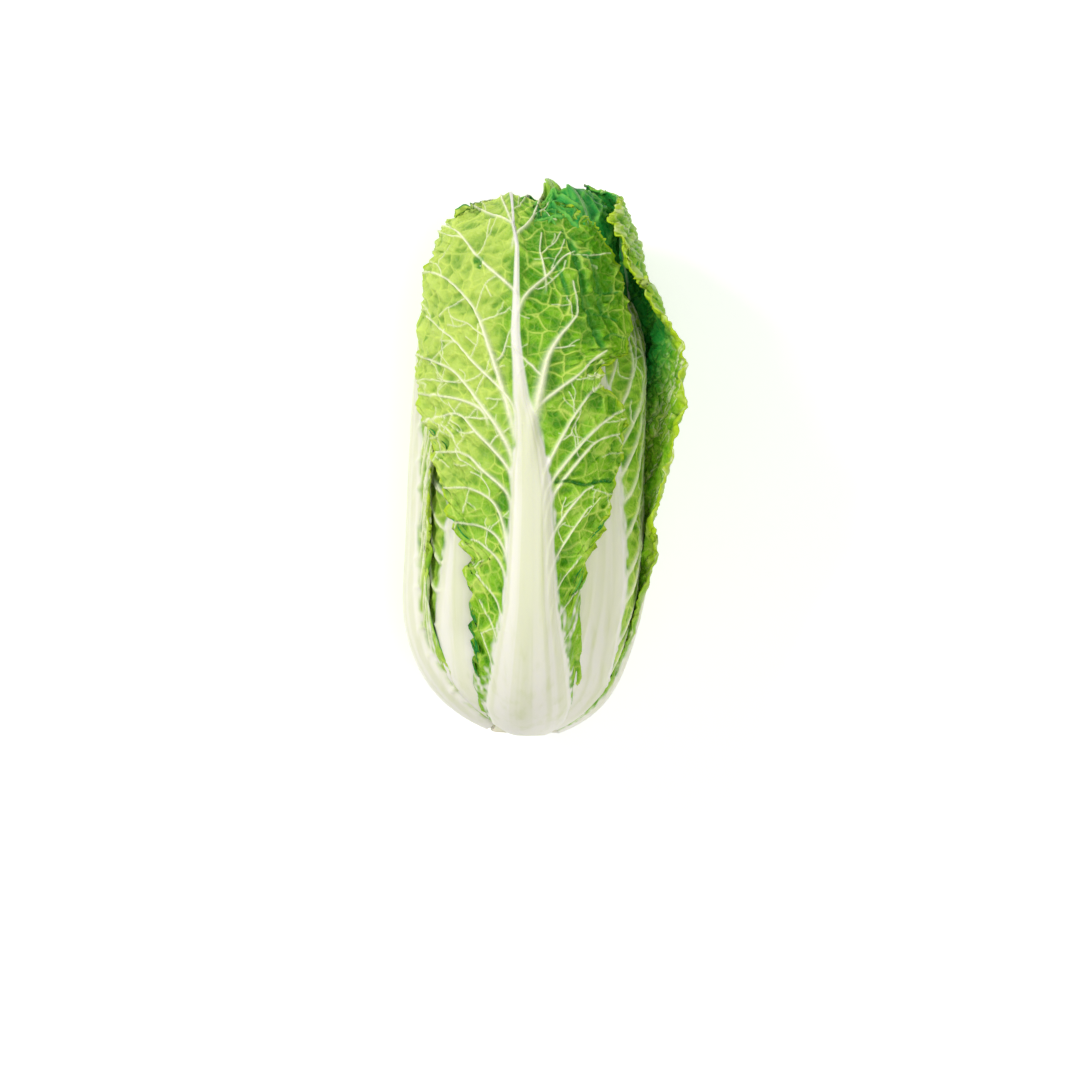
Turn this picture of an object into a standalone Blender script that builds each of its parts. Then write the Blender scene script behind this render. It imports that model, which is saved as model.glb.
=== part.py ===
"""A head of napa cabbage lying on its side, tips towards +Y: leaves wrapped round a heart on a cut stump."""

import math

import bmesh
import bpy
import numpy as np

# The closed head, in metres. Heights run along the head's own axis, from the cut face of the stump.
HEAD_LENGTH = 0.299
HEAD_RADIUS = 0.0664
BOWL_TOP = 0.090
DOME_START = 0.145
BOWL_POWER = 2.1
DOME_POWER = 3.6
PROFILE_STEPS = 600

# A grown head isn't straight: it leans towards +X at its tips and bulges towards -X low down.
TIP_LEAN = 0.005
BULGE = 0.0035
BULGE_HEIGHT = 0.050
BULGE_LENGTH = 0.035

# Each leaf lies on a shell of the head, so many layers under its outside. Down to the crowded inset the
# shells close up to half their pitch under the head, where the outer leaves are cut off side by side.
LAYER_PITCH = 0.0030
CROWDED_INSET = 0.009
BLADE_THICKNESS = 0.0010
MARGIN_THICKNESS = 0.0008

# Half width of the white rib of an outer leaf, against the height.
RIB_HEIGHTS = (0.000, 0.020, 0.036, 0.085, 0.135, 0.185, 0.215, 0.240, 0.300)
RIB_HALF_WIDTHS = (0.017, 0.0215, 0.0230, 0.0175, 0.0125, 0.0095, 0.0050, 0.0028, 0.0016)
RIB_WIDEST_ANGLE = math.radians(34)
LOWEST_WING = math.radians(3)

# Where the mesh lines of a leaf run, as shares of the half width of its rib and of its blade.
RIB_LINES = (0.55, 1.0)
BLADE_LINES = (0.20, 0.45, 0.70, 0.88, 1.0)
INNER_BLADE_LINES = (0.35, 0.70, 1.0)
ROW_CROWDING = 1.25
VEIN_SWEEP = 0.055
SWEEP_POWER = 1.3
TIP_ROUNDING = 0.012
VEIN_RELIEF = 0.0006

# The cut stump, the heart on it, and the gap that keeps each piece clear of the next.
STUMP_RADIUS = 0.0175
STUMP_EDGE = 0.0015
STUMP_SIDES = 28
STUMP_CUT = 0.0025
PIECE_GAP = 0.0006
HEART_INSET = 0.0350
HEART_COLUMNS = 35
HEART_ROWS = 22
HEART_EDGES = 5
HEART_TWIST = 1.6
HEART_STEP = 0.0028
HEART_PUCKER = 0.0004

# The head lies on the rib of its underside leaf, whose ridge is pressed flat to this depth.
REST_DEPTH = 0.0026

OUTER_GREEN = (0.42, 0.62, 0.14)
PALE_GREEN = (0.62, 0.74, 0.36)
HEART_YELLOW = (0.74, 0.78, 0.36)
STUMP_CREAM = (0.78, 0.74, 0.56)
LEAF_ROUGHNESS = 0.42
STUMP_ROUGHNESS = 0.60

# azimuth: where the rib stands, 0 on top of the lying head and 90 at its +X side. layer: 0 is outermost.
# left, right: half angles that the blade wraps towards -X and +X of its rib, at those heights.
# end_radius: how near the tip comes to the head's axis. rib: how thick the rib is. frill: the margin's waves.
# tip_rise: how far the tip stands up from its shell. open_shares: how far it rolls open, at open_heights.
# rib_full_to: the share of the leaf's length up to which the rib keeps its thickness.
WRAP_HEIGHTS = (0.020, 0.050, 0.100, 0.135, 0.180, 0.250, 0.300)
INNER_WRAP = (36, 40, 46, 56, 66, 68, 60)
INNER_FRILL = (0.0006, 0.0006)
LEAVES = {
    "leaf_underside": dict(
        azimuth=183, layer=1, rib=0.0070, rib_full_to=0.58, end_radius=0.034, lean=4, rows=20,
        frill=(0.002, 0.002),
        heights=WRAP_HEIGHTS, left=(30, 30, 36, 46, 55, 55, 48), right=(36, 32, 38, 48, 57, 57, 50),
    ),
    "leaf_right_open": dict(
        azimuth=110, layer=0, rib=0.0034, end_radius=0.043, lean=12, rows=24, frill=(0.003, 0.001),
        heights=WRAP_HEIGHTS, left=(37, 50, 58, 62, 63, 70, 62), right=(30, 32, 38, 46, 48, 48, 50),
        open_heights=(0.075, 0.115, 0.165, 0.190, 0.215, 0.250, 0.290),
        open_shares=(0, 0.35, 0.72, 0.72, 0.62, 0.50, 0.40), tip_rise=0.012,
    ),
    "leaf_front": dict(
        azimuth=0, layer=2, rib=0.0062, end_radius=0.031, lean=-3, rows=26, frill=(0.0022, 0.0015),
        heights=(0.000, 0.025, 0.050, 0.075, 0.097, 0.103, 0.117, 0.135, 0.160, 0.180, 0.220, 0.245, 0.300),
        left=(38, 34, 29, 29, 32, 28, 40, 50, 62, 72, 72, 70, 62),
        right=(38, 34, 28, 28, 30, 33, 40, 47, 56, 62, 62, 48, 42),
    ),
    "leaf_left": dict(
        azimuth=-88, layer=3, rib=0.0064, end_radius=0.030, lean=3, rows=22, frill=(0.001, 0.0008),
        heights=WRAP_HEIGHTS, left=(38, 38, 46, 56, 66, 68, 58), right=(40, 42, 43, 50, 64, 68, 58),
    ),
    "leaf_right_middle": dict(
        azimuth=38, layer=5, rib=0.0050, end_radius=0.026, lean=4, rows=22, frill=(0.0008, 0.0008),
        heights=WRAP_HEIGHTS, left=(30, 27, 30, 40, 52, 54, 46), right=(38, 46, 56, 62, 68, 70, 58),
    ),
    "leaf_left_middle": dict(
        azimuth=-36, layer=6, rib=0.0050, end_radius=0.025, lean=-4, rows=22, frill=(0.0008, 0.0008),
        heights=WRAP_HEIGHTS, left=(32, 38, 44, 54, 66, 68, 56), right=(28, 27, 30, 42, 60, 66, 56),
    ),
    "leaf_back_left": dict(
        azimuth=-135, layer=7, rib=0.0048, end_radius=0.024, lean=4, rows=18, frill=(0.0008, 0.0008),
        heights=WRAP_HEIGHTS, left=(32, 32, 40, 50, 60, 62, 54), right=(32, 32, 40, 50, 60, 62, 54),
    ),
    "leaf_back_right": dict(
        azimuth=145, layer=8, rib=0.0048, end_radius=0.023, lean=-4, rows=18, frill=(0.0008, 0.0008),
        heights=WRAP_HEIGHTS, left=(32, 32, 40, 52, 62, 64, 54), right=(28, 28, 36, 48, 62, 64, 54),
    ),
    "leaf_inner_1": dict(
        azimuth=15, layer=9, rib=0.0018, end_radius=0.019, lean=6, rows=14, inner=True, frill=INNER_FRILL,
        heights=WRAP_HEIGHTS, left=INNER_WRAP, right=INNER_WRAP,
    ),
    "leaf_inner_2": dict(
        azimuth=-122, layer=10, rib=0.0018, end_radius=0.017, lean=-6, rows=14, inner=True, frill=INNER_FRILL,
        heights=WRAP_HEIGHTS, left=INNER_WRAP, right=INNER_WRAP,
    ),
    "leaf_inner_3": dict(
        azimuth=100, layer=10.9, rib=0.0018, end_radius=0.015, lean=5, rows=14, inner=True, frill=INNER_FRILL,
        heights=WRAP_HEIGHTS, left=INNER_WRAP, right=INNER_WRAP,
    ),
}

# The open leaf rolls away from the head past a line beside its rib, and curls outwards.
HINGE_FROM_RIB = math.radians(3)
OUTWARD_CURL = 1.0


def clear_scene():
    for obj in list(bpy.data.objects):
        bpy.data.objects.remove(obj, do_unlink=True)


def smoothstep(low, high, value):
    share = np.clip((value - low) / (high - low), 0.0, 1.0)
    return share * share * (3 - 2 * share)


class Shell:
    """One layer of the head: a bowl, a straight wall and a dome, read by the distance along it."""

    def __init__(self, inset):
        turn = np.linspace(0, math.pi / 2, PROFILE_STEPS)
        sine, cosine = np.sin(turn), np.cos(turn)
        width = HEAD_RADIUS - inset
        bottom = inset - min(inset, CROWDED_INSET) / 2
        low, high = BOWL_TOP - bottom, HEAD_LENGTH - DOME_START - inset
        bowl, dome = 2 / BOWL_POWER, 2 / DOME_POWER
        self.radius = np.concatenate([width * sine**bowl, width * sine[::-1] ** dome])
        in_bowl, in_dome = BOWL_TOP - low * cosine**bowl, DOME_START + high * cosine[::-1] ** dome
        self.height = np.concatenate([in_bowl, in_dome])
        steps = np.hypot(np.diff(self.radius), np.diff(self.height))
        self.arc = np.concatenate([[0], np.cumsum(steps)])

    def at(self, arc):
        return np.interp(arc, self.arc, self.radius), np.interp(arc, self.arc, self.height)

    def arc_from_stump(self, radius):
        """Where the bowl has grown to this radius."""
        return float(np.interp(radius, self.radius[:PROFILE_STEPS], self.arc[:PROFILE_STEPS]))

    def arc_from_tip(self, radius):
        """Where the dome has closed in to this radius."""
        return float(np.interp(-radius, -self.radius[PROFILE_STEPS:], self.arc[PROFILE_STEPS:]))


def bent(x, height, z):
    """Points of the straight head moved onto its bent axis."""
    bulge = BULGE * np.exp(-(((height - BULGE_HEIGHT) / BULGE_LENGTH) ** 2))
    return np.stack([x + TIP_LEAN * (height / HEAD_LENGTH) ** 2 - bulge, height, z], axis=-1)


def rolled_open(radius, azimuth, hinge, share):
    """The radius and azimuth of a blade that leaves the head's own curve at the hinge and curls outwards."""
    beyond = np.clip(hinge - azimuth, 0, None) * radius
    bend = (1 - share) / radius - share * OUTWARD_CURL
    bend = np.where(np.abs(bend) < 1e-3, 1e-3, bend)
    forward, inward = np.sin(bend * beyond) / bend, (1 - np.cos(bend * beyond)) / bend
    x = (radius - inward) * np.sin(hinge) - forward * np.cos(hinge)
    z = (radius - inward) * np.cos(hinge) + forward * np.sin(hinge)
    closed = azimuth > hinge
    return np.where(closed, radius, np.hypot(x, z)), np.where(closed, azimuth, np.arctan2(x, z))


def leaf_surface(leaf, rise, across, row):
    """Points on a leaf's inner face, with the thickness there.

    rise runs from 0 at the stump to 1 at the tip. across runs from -2 to 2: up to 1 it is in the rib, and
    past 1 in the blade. Even rows are side veins that end in a tooth, and odd rows the hollows between.
    """
    shell = Shell(leaf["layer"] * LAYER_PITCH)
    start, end = shell.arc_from_stump(STUMP_RADIUS + PIECE_GAP), shell.arc_from_tip(leaf["end_radius"])
    side = np.sign(across)
    in_rib, in_blade = np.clip(np.abs(across), 0, 1), np.clip(np.abs(across) - 1, 0, 1)
    vein = np.where(row % 2 == 0, 1.0, 0.0)
    share = 1 - (1 - rise) ** ROW_CROWDING

    # The side veins climb as they run to the margin, and close in over the rounded tip.
    climb = VEIN_SWEEP * np.sin(math.pi * share) - TIP_ROUNDING * share**6
    spine_radius, spine_height = shell.at(start + (end - start) * share)
    radius, height = shell.at(start + (end - start) * share + climb * in_blade**SWEEP_POWER)

    rib_angle = np.interp(spine_height, RIB_HEIGHTS, RIB_HALF_WIDTHS) / spine_radius
    rib_angle = np.minimum(rib_angle, RIB_WIDEST_ANGLE)
    wrap_left = np.radians(np.interp(height, leaf["heights"], leaf["left"]))
    wrap_right = np.radians(np.interp(height, leaf["heights"], leaf["right"]))
    narrowed = 1 - 0.18 * smoothstep(0.85, 1.0, share)
    toothed = 1 + 0.05 * (2 * vein - 1) * smoothstep(0.05, 0.2, share)
    blade_angle = (np.where(side < 0, wrap_left, wrap_right) - rib_angle) * narrowed * toothed
    rib_line = math.radians(leaf["azimuth"]) + math.radians(leaf["lean"]) * smoothstep(0.2, 1.0, share)
    azimuth = rib_line + side * (rib_angle * in_rib + np.maximum(blade_angle, LOWEST_WING) * in_blade)

    # The free margin waves, and the blade puffs out a little between its veins.
    frill = np.where(side < 0, leaf["frill"][0], leaf["frill"][1])
    frill = frill * smoothstep(0.5, 1.0, in_blade) * smoothstep(0.10, 0.35, share)
    relief = VEIN_RELIEF * smoothstep(0.0, 0.3, in_blade) * (1 - smoothstep(0.7, 1.0, in_blade))
    radius = radius + (frill + relief) * vein
    if "open_shares" in leaf:
        opened = np.interp(height, leaf["open_heights"], leaf["open_shares"])
        radius, azimuth = rolled_open(radius, azimuth, rib_line - HINGE_FROM_RIB, opened)

    rib = leaf["rib"] * (0.35 + 0.65 * smoothstep(0.0, 0.12, share))
    rib = rib * (1 - 0.85 * smoothstep(leaf.get("rib_full_to", 0.35), 0.95, share))
    crown = (1 - in_rib**2) ** 0.65
    thickness = BLADE_THICKNESS + (MARGIN_THICKNESS - BLADE_THICKNESS) * in_blade + rib * crown
    height = height + leaf.get("tip_rise", 0) * smoothstep(0.75, 1.0, share)
    return bent(radius * np.sin(azimuth), height, radius * np.cos(azimuth)), thickness


def new_object(name, made, colour, roughness, collection):
    """A smooth-shaded object from a bmesh, with its own material."""
    mesh = bpy.data.meshes.new(name)
    made.to_mesh(mesh)
    made.free()
    mesh.shade_smooth()
    finish = bpy.data.materials.new(name)
    finish.use_nodes = True
    shader = finish.node_tree.nodes["Principled BSDF"]
    shader.inputs["Base Color"].default_value = (*colour, 1)
    shader.inputs["Roughness"].default_value = roughness
    shader.inputs["Metallic"].default_value = 0
    mesh.materials.append(finish)
    obj = bpy.data.objects.new(name, mesh)
    collection.objects.link(obj)
    return obj


def apply_modifiers(obj):
    """Replaces an object's mesh by the one that its modifiers give."""
    made = bpy.data.meshes.new_from_object(obj.evaluated_get(bpy.context.evaluated_depsgraph_get()))
    obj.modifiers.clear()
    obj.data = made


def face_outwards(sheet):
    """Turns the faces of an open sheet so that they point away from the head's axis."""
    sheet.normal_update()
    centres = [(face.normal, face.calc_center_median()) for face in sheet.faces]
    if sum(normal.x * centre.x + normal.z * centre.z for normal, centre in centres) < 0:
        bmesh.ops.reverse_faces(sheet, faces=sheet.faces)


def make_leaf(name, leaf, collection):
    """A grid bent to the leaf's inner face, then thickened outwards, most along the rib."""
    blade_lines = INNER_BLADE_LINES if leaf.get("inner") else BLADE_LINES
    half = list(RIB_LINES) + [1 + line for line in blade_lines]
    lines = np.array([-line for line in reversed(half)] + [0.0] + half)
    columns, rows = len(lines) - 1, leaf["rows"]

    sheet = bmesh.new()
    bmesh.ops.create_grid(sheet, x_segments=columns, y_segments=rows, size=0.5)
    column = np.array([round((vert.co.x + 0.5) * columns) for vert in sheet.verts])
    row = np.array([round((vert.co.y + 0.5) * rows) for vert in sheet.verts])
    points, thickness = leaf_surface(leaf, row / rows, lines[column], row)
    for vert, point in zip(sheet.verts, points):
        vert.co = point
    face_outwards(sheet)
    bmesh.ops.triangulate(sheet, faces=sheet.faces)

    colour = PALE_GREEN if leaf.get("inner") else OUTER_GREEN
    obj = new_object(name, sheet, colour, LEAF_ROUGHNESS, collection)
    group = obj.vertex_groups.new(name="thickness")
    thickest = float(thickness.max())
    for index, value in enumerate(thickness):
        group.add([index], float(value) / thickest, "REPLACE")
    solidify = obj.modifiers.new("Thickness", "SOLIDIFY")
    solidify.thickness = thickest
    solidify.vertex_group = group.name
    solidify.offset = 1
    apply_modifiers(obj)
    return obj


def make_heart(collection):
    """The packed inner leaves as one bud, its surface stepped where their edges overlap in a spiral."""
    shell = Shell(HEART_INSET)
    bud = bmesh.new()
    bmesh.ops.create_uvsphere(bud, u_segments=HEART_COLUMNS, v_segments=HEART_ROWS, radius=1)
    for vert in bud.verts:
        share = math.acos(max(-1.0, min(1.0, -vert.co.z))) / math.pi
        azimuth = math.atan2(vert.co.x, vert.co.y)
        edge = (HEART_EDGES * azimuth / math.tau + HEART_TWIST * share) % 1.0
        fade = float(smoothstep(0.04, 0.25, share) * (1 - smoothstep(0.93, 1.0, share)))
        pucker = HEART_PUCKER * math.sin(HEART_ROWS / 2 * math.pi * share)
        radius, height = shell.at(share * shell.arc[-1])
        radius = float(radius) + (HEART_STEP * (edge - 1) + pucker) * fade
        vert.co = bent(radius * math.sin(azimuth), float(height), radius * math.cos(azimuth))
    bud.normal_update()
    bmesh.ops.recalc_face_normals(bud, faces=bud.faces)
    bmesh.ops.triangulate(bud, faces=bud.faces)
    return new_object("heart", bud, HEART_YELLOW, LEAF_ROUGHNESS, collection)


def make_stump(collection):
    """The cut stem that the leaves grow from: a turned plug whose top is hollowed to seat the heart."""
    seat = Shell(HEART_INSET)
    seat_radii = np.linspace(0, STUMP_RADIUS, 4)
    seat_heights = [float(seat.at(seat.arc_from_stump(radius))[1]) for radius in seat_radii]
    profile = [(radius, height - 2 * PIECE_GAP) for radius, height in zip(seat_radii, seat_heights)]
    profile += [(STUMP_RADIUS, 0.030), (STUMP_RADIUS, 0.015), (STUMP_RADIUS, STUMP_CUT + STUMP_EDGE)]
    profile += [(STUMP_RADIUS - STUMP_EDGE, STUMP_CUT), (0, STUMP_CUT)]

    outline = bmesh.new()
    corners = [outline.verts.new((radius, 0, height)) for radius, height in profile]
    for first, second in zip(corners, corners[1:]):
        outline.edges.new((first, second))
    stump = new_object("stump", outline, STUMP_CREAM, STUMP_ROUGHNESS, collection)
    screw = stump.modifiers.new("Turned", "SCREW")
    screw.steps = screw.render_steps = STUMP_SIDES
    screw.use_merge_vertices = True
    screw.merge_threshold = 0.00005
    apply_modifiers(stump)
    for vert in stump.data.vertices:
        vert.co = bent(vert.co.x, vert.co.z, -vert.co.y)
    return stump


def lay_down(pieces, holder):
    """Presses the underside rib flat, then moves the holder so that the origin is under the head's middle."""
    underside = pieces["leaf_underside"].data.vertices
    floor = min(vert.co.z for vert in underside) + REST_DEPTH
    for vert in underside:
        vert.co.z = max(vert.co.z, floor)
    for piece in pieces.values():
        piece.parent = holder
    points = np.array([vert.co for piece in pieces.values() for vert in piece.data.vertices])
    low, high = points.min(axis=0), points.max(axis=0)
    holder.location = (-(low[0] + high[0]) / 2, -(low[1] + high[1]) / 2, -low[2])


def main():
    clear_scene()
    collection = bpy.data.collections.new("napa_cabbage")
    bpy.context.scene.collection.children.link(collection)
    holder = bpy.data.objects.new("head_frame", None)
    collection.objects.link(holder)
    pieces = {name: make_leaf(name, leaf, collection) for name, leaf in LEAVES.items()}
    pieces["heart"] = make_heart(collection)
    pieces["stump"] = make_stump(collection)
    lay_down(pieces, holder)


main()
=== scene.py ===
import math

import bpy
import numpy as np
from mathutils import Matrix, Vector


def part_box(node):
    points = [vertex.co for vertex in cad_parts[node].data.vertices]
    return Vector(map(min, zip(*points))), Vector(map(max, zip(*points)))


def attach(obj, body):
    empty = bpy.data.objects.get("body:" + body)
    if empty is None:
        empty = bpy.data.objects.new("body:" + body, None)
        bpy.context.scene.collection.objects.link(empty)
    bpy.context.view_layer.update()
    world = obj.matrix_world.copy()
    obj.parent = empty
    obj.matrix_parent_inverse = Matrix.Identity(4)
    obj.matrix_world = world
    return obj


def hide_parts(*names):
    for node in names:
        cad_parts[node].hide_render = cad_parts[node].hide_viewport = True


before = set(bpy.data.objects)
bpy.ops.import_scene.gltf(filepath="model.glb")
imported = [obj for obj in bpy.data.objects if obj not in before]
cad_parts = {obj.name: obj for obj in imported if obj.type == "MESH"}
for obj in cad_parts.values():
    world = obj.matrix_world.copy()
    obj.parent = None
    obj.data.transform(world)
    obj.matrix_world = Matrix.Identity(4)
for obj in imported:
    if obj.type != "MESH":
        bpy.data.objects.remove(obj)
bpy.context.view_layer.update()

# The closed head in metres. Heights run along its own axis, from the cut face to the tips.
head = dict(
    length=0.299, radius=0.0664, bowlTop=0.090, domeStart=0.145, bowlPower=2.1, domePower=3.6,
    tipLean=0.005, bulge=0.0035, bulgeHeight=0.050, bulgeLength=0.035,
    layerPitch=0.0030, crowdedInset=0.009, heartInset=0.035,
    stumpRadius=0.0175, stumpCut=0.0025, stumpEdge=0.0015, gap=0.0006,
)
# The camera looks straight down. Its aim is a place on the head: across from the axis, and along it.
shot = dict(distance=2.0, width=0.583, aimAcross=0.0081, aimAlong=0.1058, sensor=36.0)
seeds = dict(
    rim=5, net=11, crumple=23, margin=37, frill=41, veins=53, wander=67, grooves=71, heart=91, stump=97,
)


def smooth(low, high, value):
    share = np.clip((value - low) / (high - low), 0.0, 1.0)
    return share * share * (3 - 2 * share)


def bendShift(height):
    bulge = head["bulge"] * np.exp(-(((height - head["bulgeHeight"]) / head["bulgeLength"]) ** 2))
    return head["tipLean"] * (height / head["length"]) ** 2 - bulge


# Where the head's own axis and cut face are in the model's frame, read from the stump.
stumpLow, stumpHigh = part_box("stump")
home = np.array([
    stumpHigh.x - head["stumpRadius"] - bendShift(head["stumpCut"] + head["stumpEdge"]),
    stumpLow.y - head["stumpCut"],
    (stumpLow.z + stumpHigh.z) / 2,
])


def bent(radius, azimuth, height):
    # a place on the head: azimuth 0 faces the camera, and the height is above the cut face
    x, z = radius * np.sin(azimuth), radius * np.cos(azimuth)
    return np.stack([x + bendShift(height), height, z], axis=-1) + home


class Shell:
    # one layer of the head: a bowl, a straight wall and a dome, read by the distance along it
    def __init__(self, inset):
        turn = np.linspace(0, math.pi / 2, 600)
        width = head["radius"] - inset
        bottom = inset - min(inset, head["crowdedInset"]) / 2
        low = head["bowlTop"] - bottom
        high = head["length"] - head["domeStart"] - inset
        bowl, dome = 2 / head["bowlPower"], 2 / head["domePower"]
        self.half = len(turn)
        self.radius = np.concatenate([width * np.sin(turn) ** bowl, width * np.sin(turn)[::-1] ** dome])
        inBowl = head["bowlTop"] - low * np.cos(turn) ** bowl
        inDome = head["domeStart"] + high * np.cos(turn)[::-1] ** dome
        self.height = np.concatenate([inBowl, inDome])
        steps = np.hypot(np.diff(self.radius), np.diff(self.height))
        self.arc = np.concatenate([[0], np.cumsum(steps)])

    def at(self, arc):
        return np.interp(arc, self.arc, self.radius), np.interp(arc, self.arc, self.height)

    def radiusAt(self, height):
        return np.interp(height, self.height, self.radius)

    def arcFromStump(self, radius):
        return float(np.interp(radius, self.radius[:self.half], self.arc[:self.half]))

    def arcFromTip(self, radius):
        return float(np.interp(-radius, -self.radius[self.half:], self.arc[self.half:]))


def chance(cell, seed):
    # a number from 0 to 1 that belongs to each whole-number cell
    x, y, z = (cell[..., axis] * prime for axis, prime in enumerate((73856093, 19349663, 83492791)))
    mixed = x ^ y ^ z ^ (seed * 2654435)
    mixed = (mixed ^ (mixed >> 13)) * 1274126177
    mixed = (mixed ^ (mixed >> 15)) * 97531
    return ((mixed ^ (mixed >> 11)) & 0xFFFFF) / 0xFFFFF


def softNoise(points, size, seed):
    # rolling noise from 0 to 1 with hills about this size
    place = points / size
    cell = np.floor(place).astype(np.int64)
    part = place - cell
    part = part * part * (3 - 2 * part)
    total = 0
    for dx in (0, 1):
        for dy in (0, 1):
            for dz in (0, 1):
                weight = 1.0
                for axis, step in enumerate((dx, dy, dz)):
                    weight = weight * (part[..., axis] if step else 1 - part[..., axis])
                total = total + weight * chance(cell + np.array([dx, dy, dz]), seed)
    return total


def lineNoise(along, size, seed):
    # the same along a line
    along = np.asarray(along, float)
    points = np.stack([along, np.full_like(along, 0.37 * size), np.full_like(along, 0.71 * size)], axis=-1)
    return softNoise(points, size, seed)


def waves(along, size, smaller, seed, share=0.5):
    # noise along a line with a share of smaller noise on it
    return lineNoise(along, size, seed) + share * lineNoise(along, smaller, seed + 1)


def cellNet(points, size, seed):
    # cells about this size: distance to the nearest wall, a number per cell, and the way to its middle
    place = points / size
    cell = np.floor(place).astype(np.int64)
    nearest = np.full(len(points), 1e9)
    second = np.full(len(points), 1e9)
    middle, other = np.zeros_like(points), np.zeros_like(points)
    tone = np.zeros(len(points))
    for dx in (-1, 0, 1):
        for dy in (-1, 0, 1):
            for dz in (-1, 0, 1):
                here = cell + np.array([dx, dy, dz])
                jitter = np.stack([chance(here, seed + k) for k in (1, 2, 3)], axis=-1)
                centre = here + 0.1 + 0.8 * jitter
                gap = ((centre - place) ** 2).sum(axis=1)
                closer = gap < nearest
                between = ~closer & (gap < second)
                second = np.where(closer, nearest, np.where(between, gap, second))
                other = np.where(closer[:, None], middle, np.where(between[:, None], centre, other))
                nearest = np.where(closer, gap, nearest)
                middle = np.where(closer[:, None], centre, middle)
                tone = np.where(closer, chance(here, seed + 4), tone)
    apart = np.linalg.norm(other - middle, axis=1)
    wall = (second - nearest) / (2 * np.maximum(apart, 1e-6)) * size
    return wall, tone, (place - middle) * size


class Wire:
    # one output of a material's node tree; sums on wires add Math nodes
    def __init__(self, paint, socket):
        self.paint = paint
        self.socket = socket

    def maths(self, operation, first, second):
        return self.paint.node("ShaderNodeMath", dict(operation=operation), {0: first, 1: second})

    def __add__(self, other):
        return self.maths("ADD", self, other)

    def __mul__(self, other):
        return self.maths("MULTIPLY", self, other)

    __radd__, __rmul__ = __add__, __mul__

    def __sub__(self, other):
        return self.maths("SUBTRACT", self, other)

    def __rsub__(self, other):
        return self.maths("SUBTRACT", other, self)


class Paint:
    # a material and the one way that its nodes are made
    def __init__(self, name):
        self.material = bpy.data.materials.new(name)
        self.material.use_nodes = True
        self.tree = self.material.node_tree
        self.shader = self.tree.nodes["Principled BSDF"]

    def node(self, kind, settings, inputs, output=0):
        made = self.tree.nodes.new(kind)
        for key, value in settings.items():
            setattr(made, key, value)
        for key, value in inputs.items():
            self.feed(made.inputs[key], value)
        return Wire(self, made.outputs[output])

    def feed(self, socket, value):
        if isinstance(value, Wire):
            self.tree.links.new(value.socket, socket)
        else:
            socket.default_value = value

    def mark(self, name):
        return self.node("ShaderNodeAttribute", dict(attribute_name=name), {}, "Fac")

    def ease(self, value, low, high):
        settings = dict(interpolation_type="SMOOTHSTEP")
        return self.node("ShaderNodeMapRange", settings, {0: value, 1: low, 2: high, 3: 0.0, 4: 1.0})

    def blend(self, share, first, second):
        return self.node("ShaderNodeMix", dict(data_type="RGBA"), {0: share, 6: first, 7: second}, 2)

    def place(self, stretch=(1, 1, 1)):
        where = self.node("ShaderNodeTexCoord", {}, {}, "Object")
        return self.node("ShaderNodeVectorMath", dict(operation="MULTIPLY"), {0: where, 1: stretch})

    def noise(self, scale, detail=2.0, stretch=(1, 1, 1)):
        inputs = {"Vector": self.place(stretch), "Scale": scale, "Detail": detail}
        return self.node("ShaderNodeTexNoise", {}, inputs)

    def veinlets(self, scale):
        # 0 on the finest net of veins, rising into the little fields between
        inputs = {"Vector": self.place(), "Scale": scale}
        return self.node("ShaderNodeTexVoronoi", dict(feature="DISTANCE_TO_EDGE"), inputs)

    def bump(self, height, strength, distance):
        inputs = {"Strength": strength, "Distance": distance, "Height": height}
        return self.node("ShaderNodeBump", {}, inputs)

    def finish(self, colour, roughness, normal, **constants):
        self.feed(self.shader.inputs["Base Color"], colour)
        self.feed(self.shader.inputs["Roughness"], roughness)
        self.feed(self.shader.inputs["Normal"], normal)
        for key, value in constants.items():
            self.shader.inputs[key.replace("_", " ")].default_value = value
        return self.material


def tint(red, green, blue):
    # a colour from 0 to 255 as the eye reads it, in the shader's own scale
    parts = [c / 255 for c in (red, green, blue)]
    return tuple(p / 12.92 if p <= 0.04045 else ((p + 0.055) / 1.055) ** 2.4 for p in parts) + (1.0,)


# The deeper blade green is painted shade for the hollows, and the crest green a painted highlight; inside, the
# deeper green and the vein green also serve as painted shade and highlight.
leafLook = dict(
    ribWhite=tint(243, 241, 226), ribGreen=tint(206, 214, 150), vein=tint(246, 248, 210),
    net=tint(208, 230, 106), blade=tint(122, 186, 4), bladeShade=tint(54, 136, 0),
    bladePaleAndLit=tint(182, 210, 90), crestHighlight=tint(200, 224, 112), rim=tint(176, 210, 30),
    inside=tint(38, 172, 70), insideDeepAndShade=tint(14, 124, 44), insideVeinAndHighlight=tint(124, 202, 78),
    roughness=0.46, specular=0.22, patchScale=38.0, grainScale=420.0, veinletScale=330.0, fibreScale=24.0,
    fibreStretch=(9.0, 0.35, 9.0), bump=0.35, bumpDepth=0.0006, glow=0.18, glowReach=(0.9, 1.0, 0.35),
    glowScale=0.0025,
)


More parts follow.
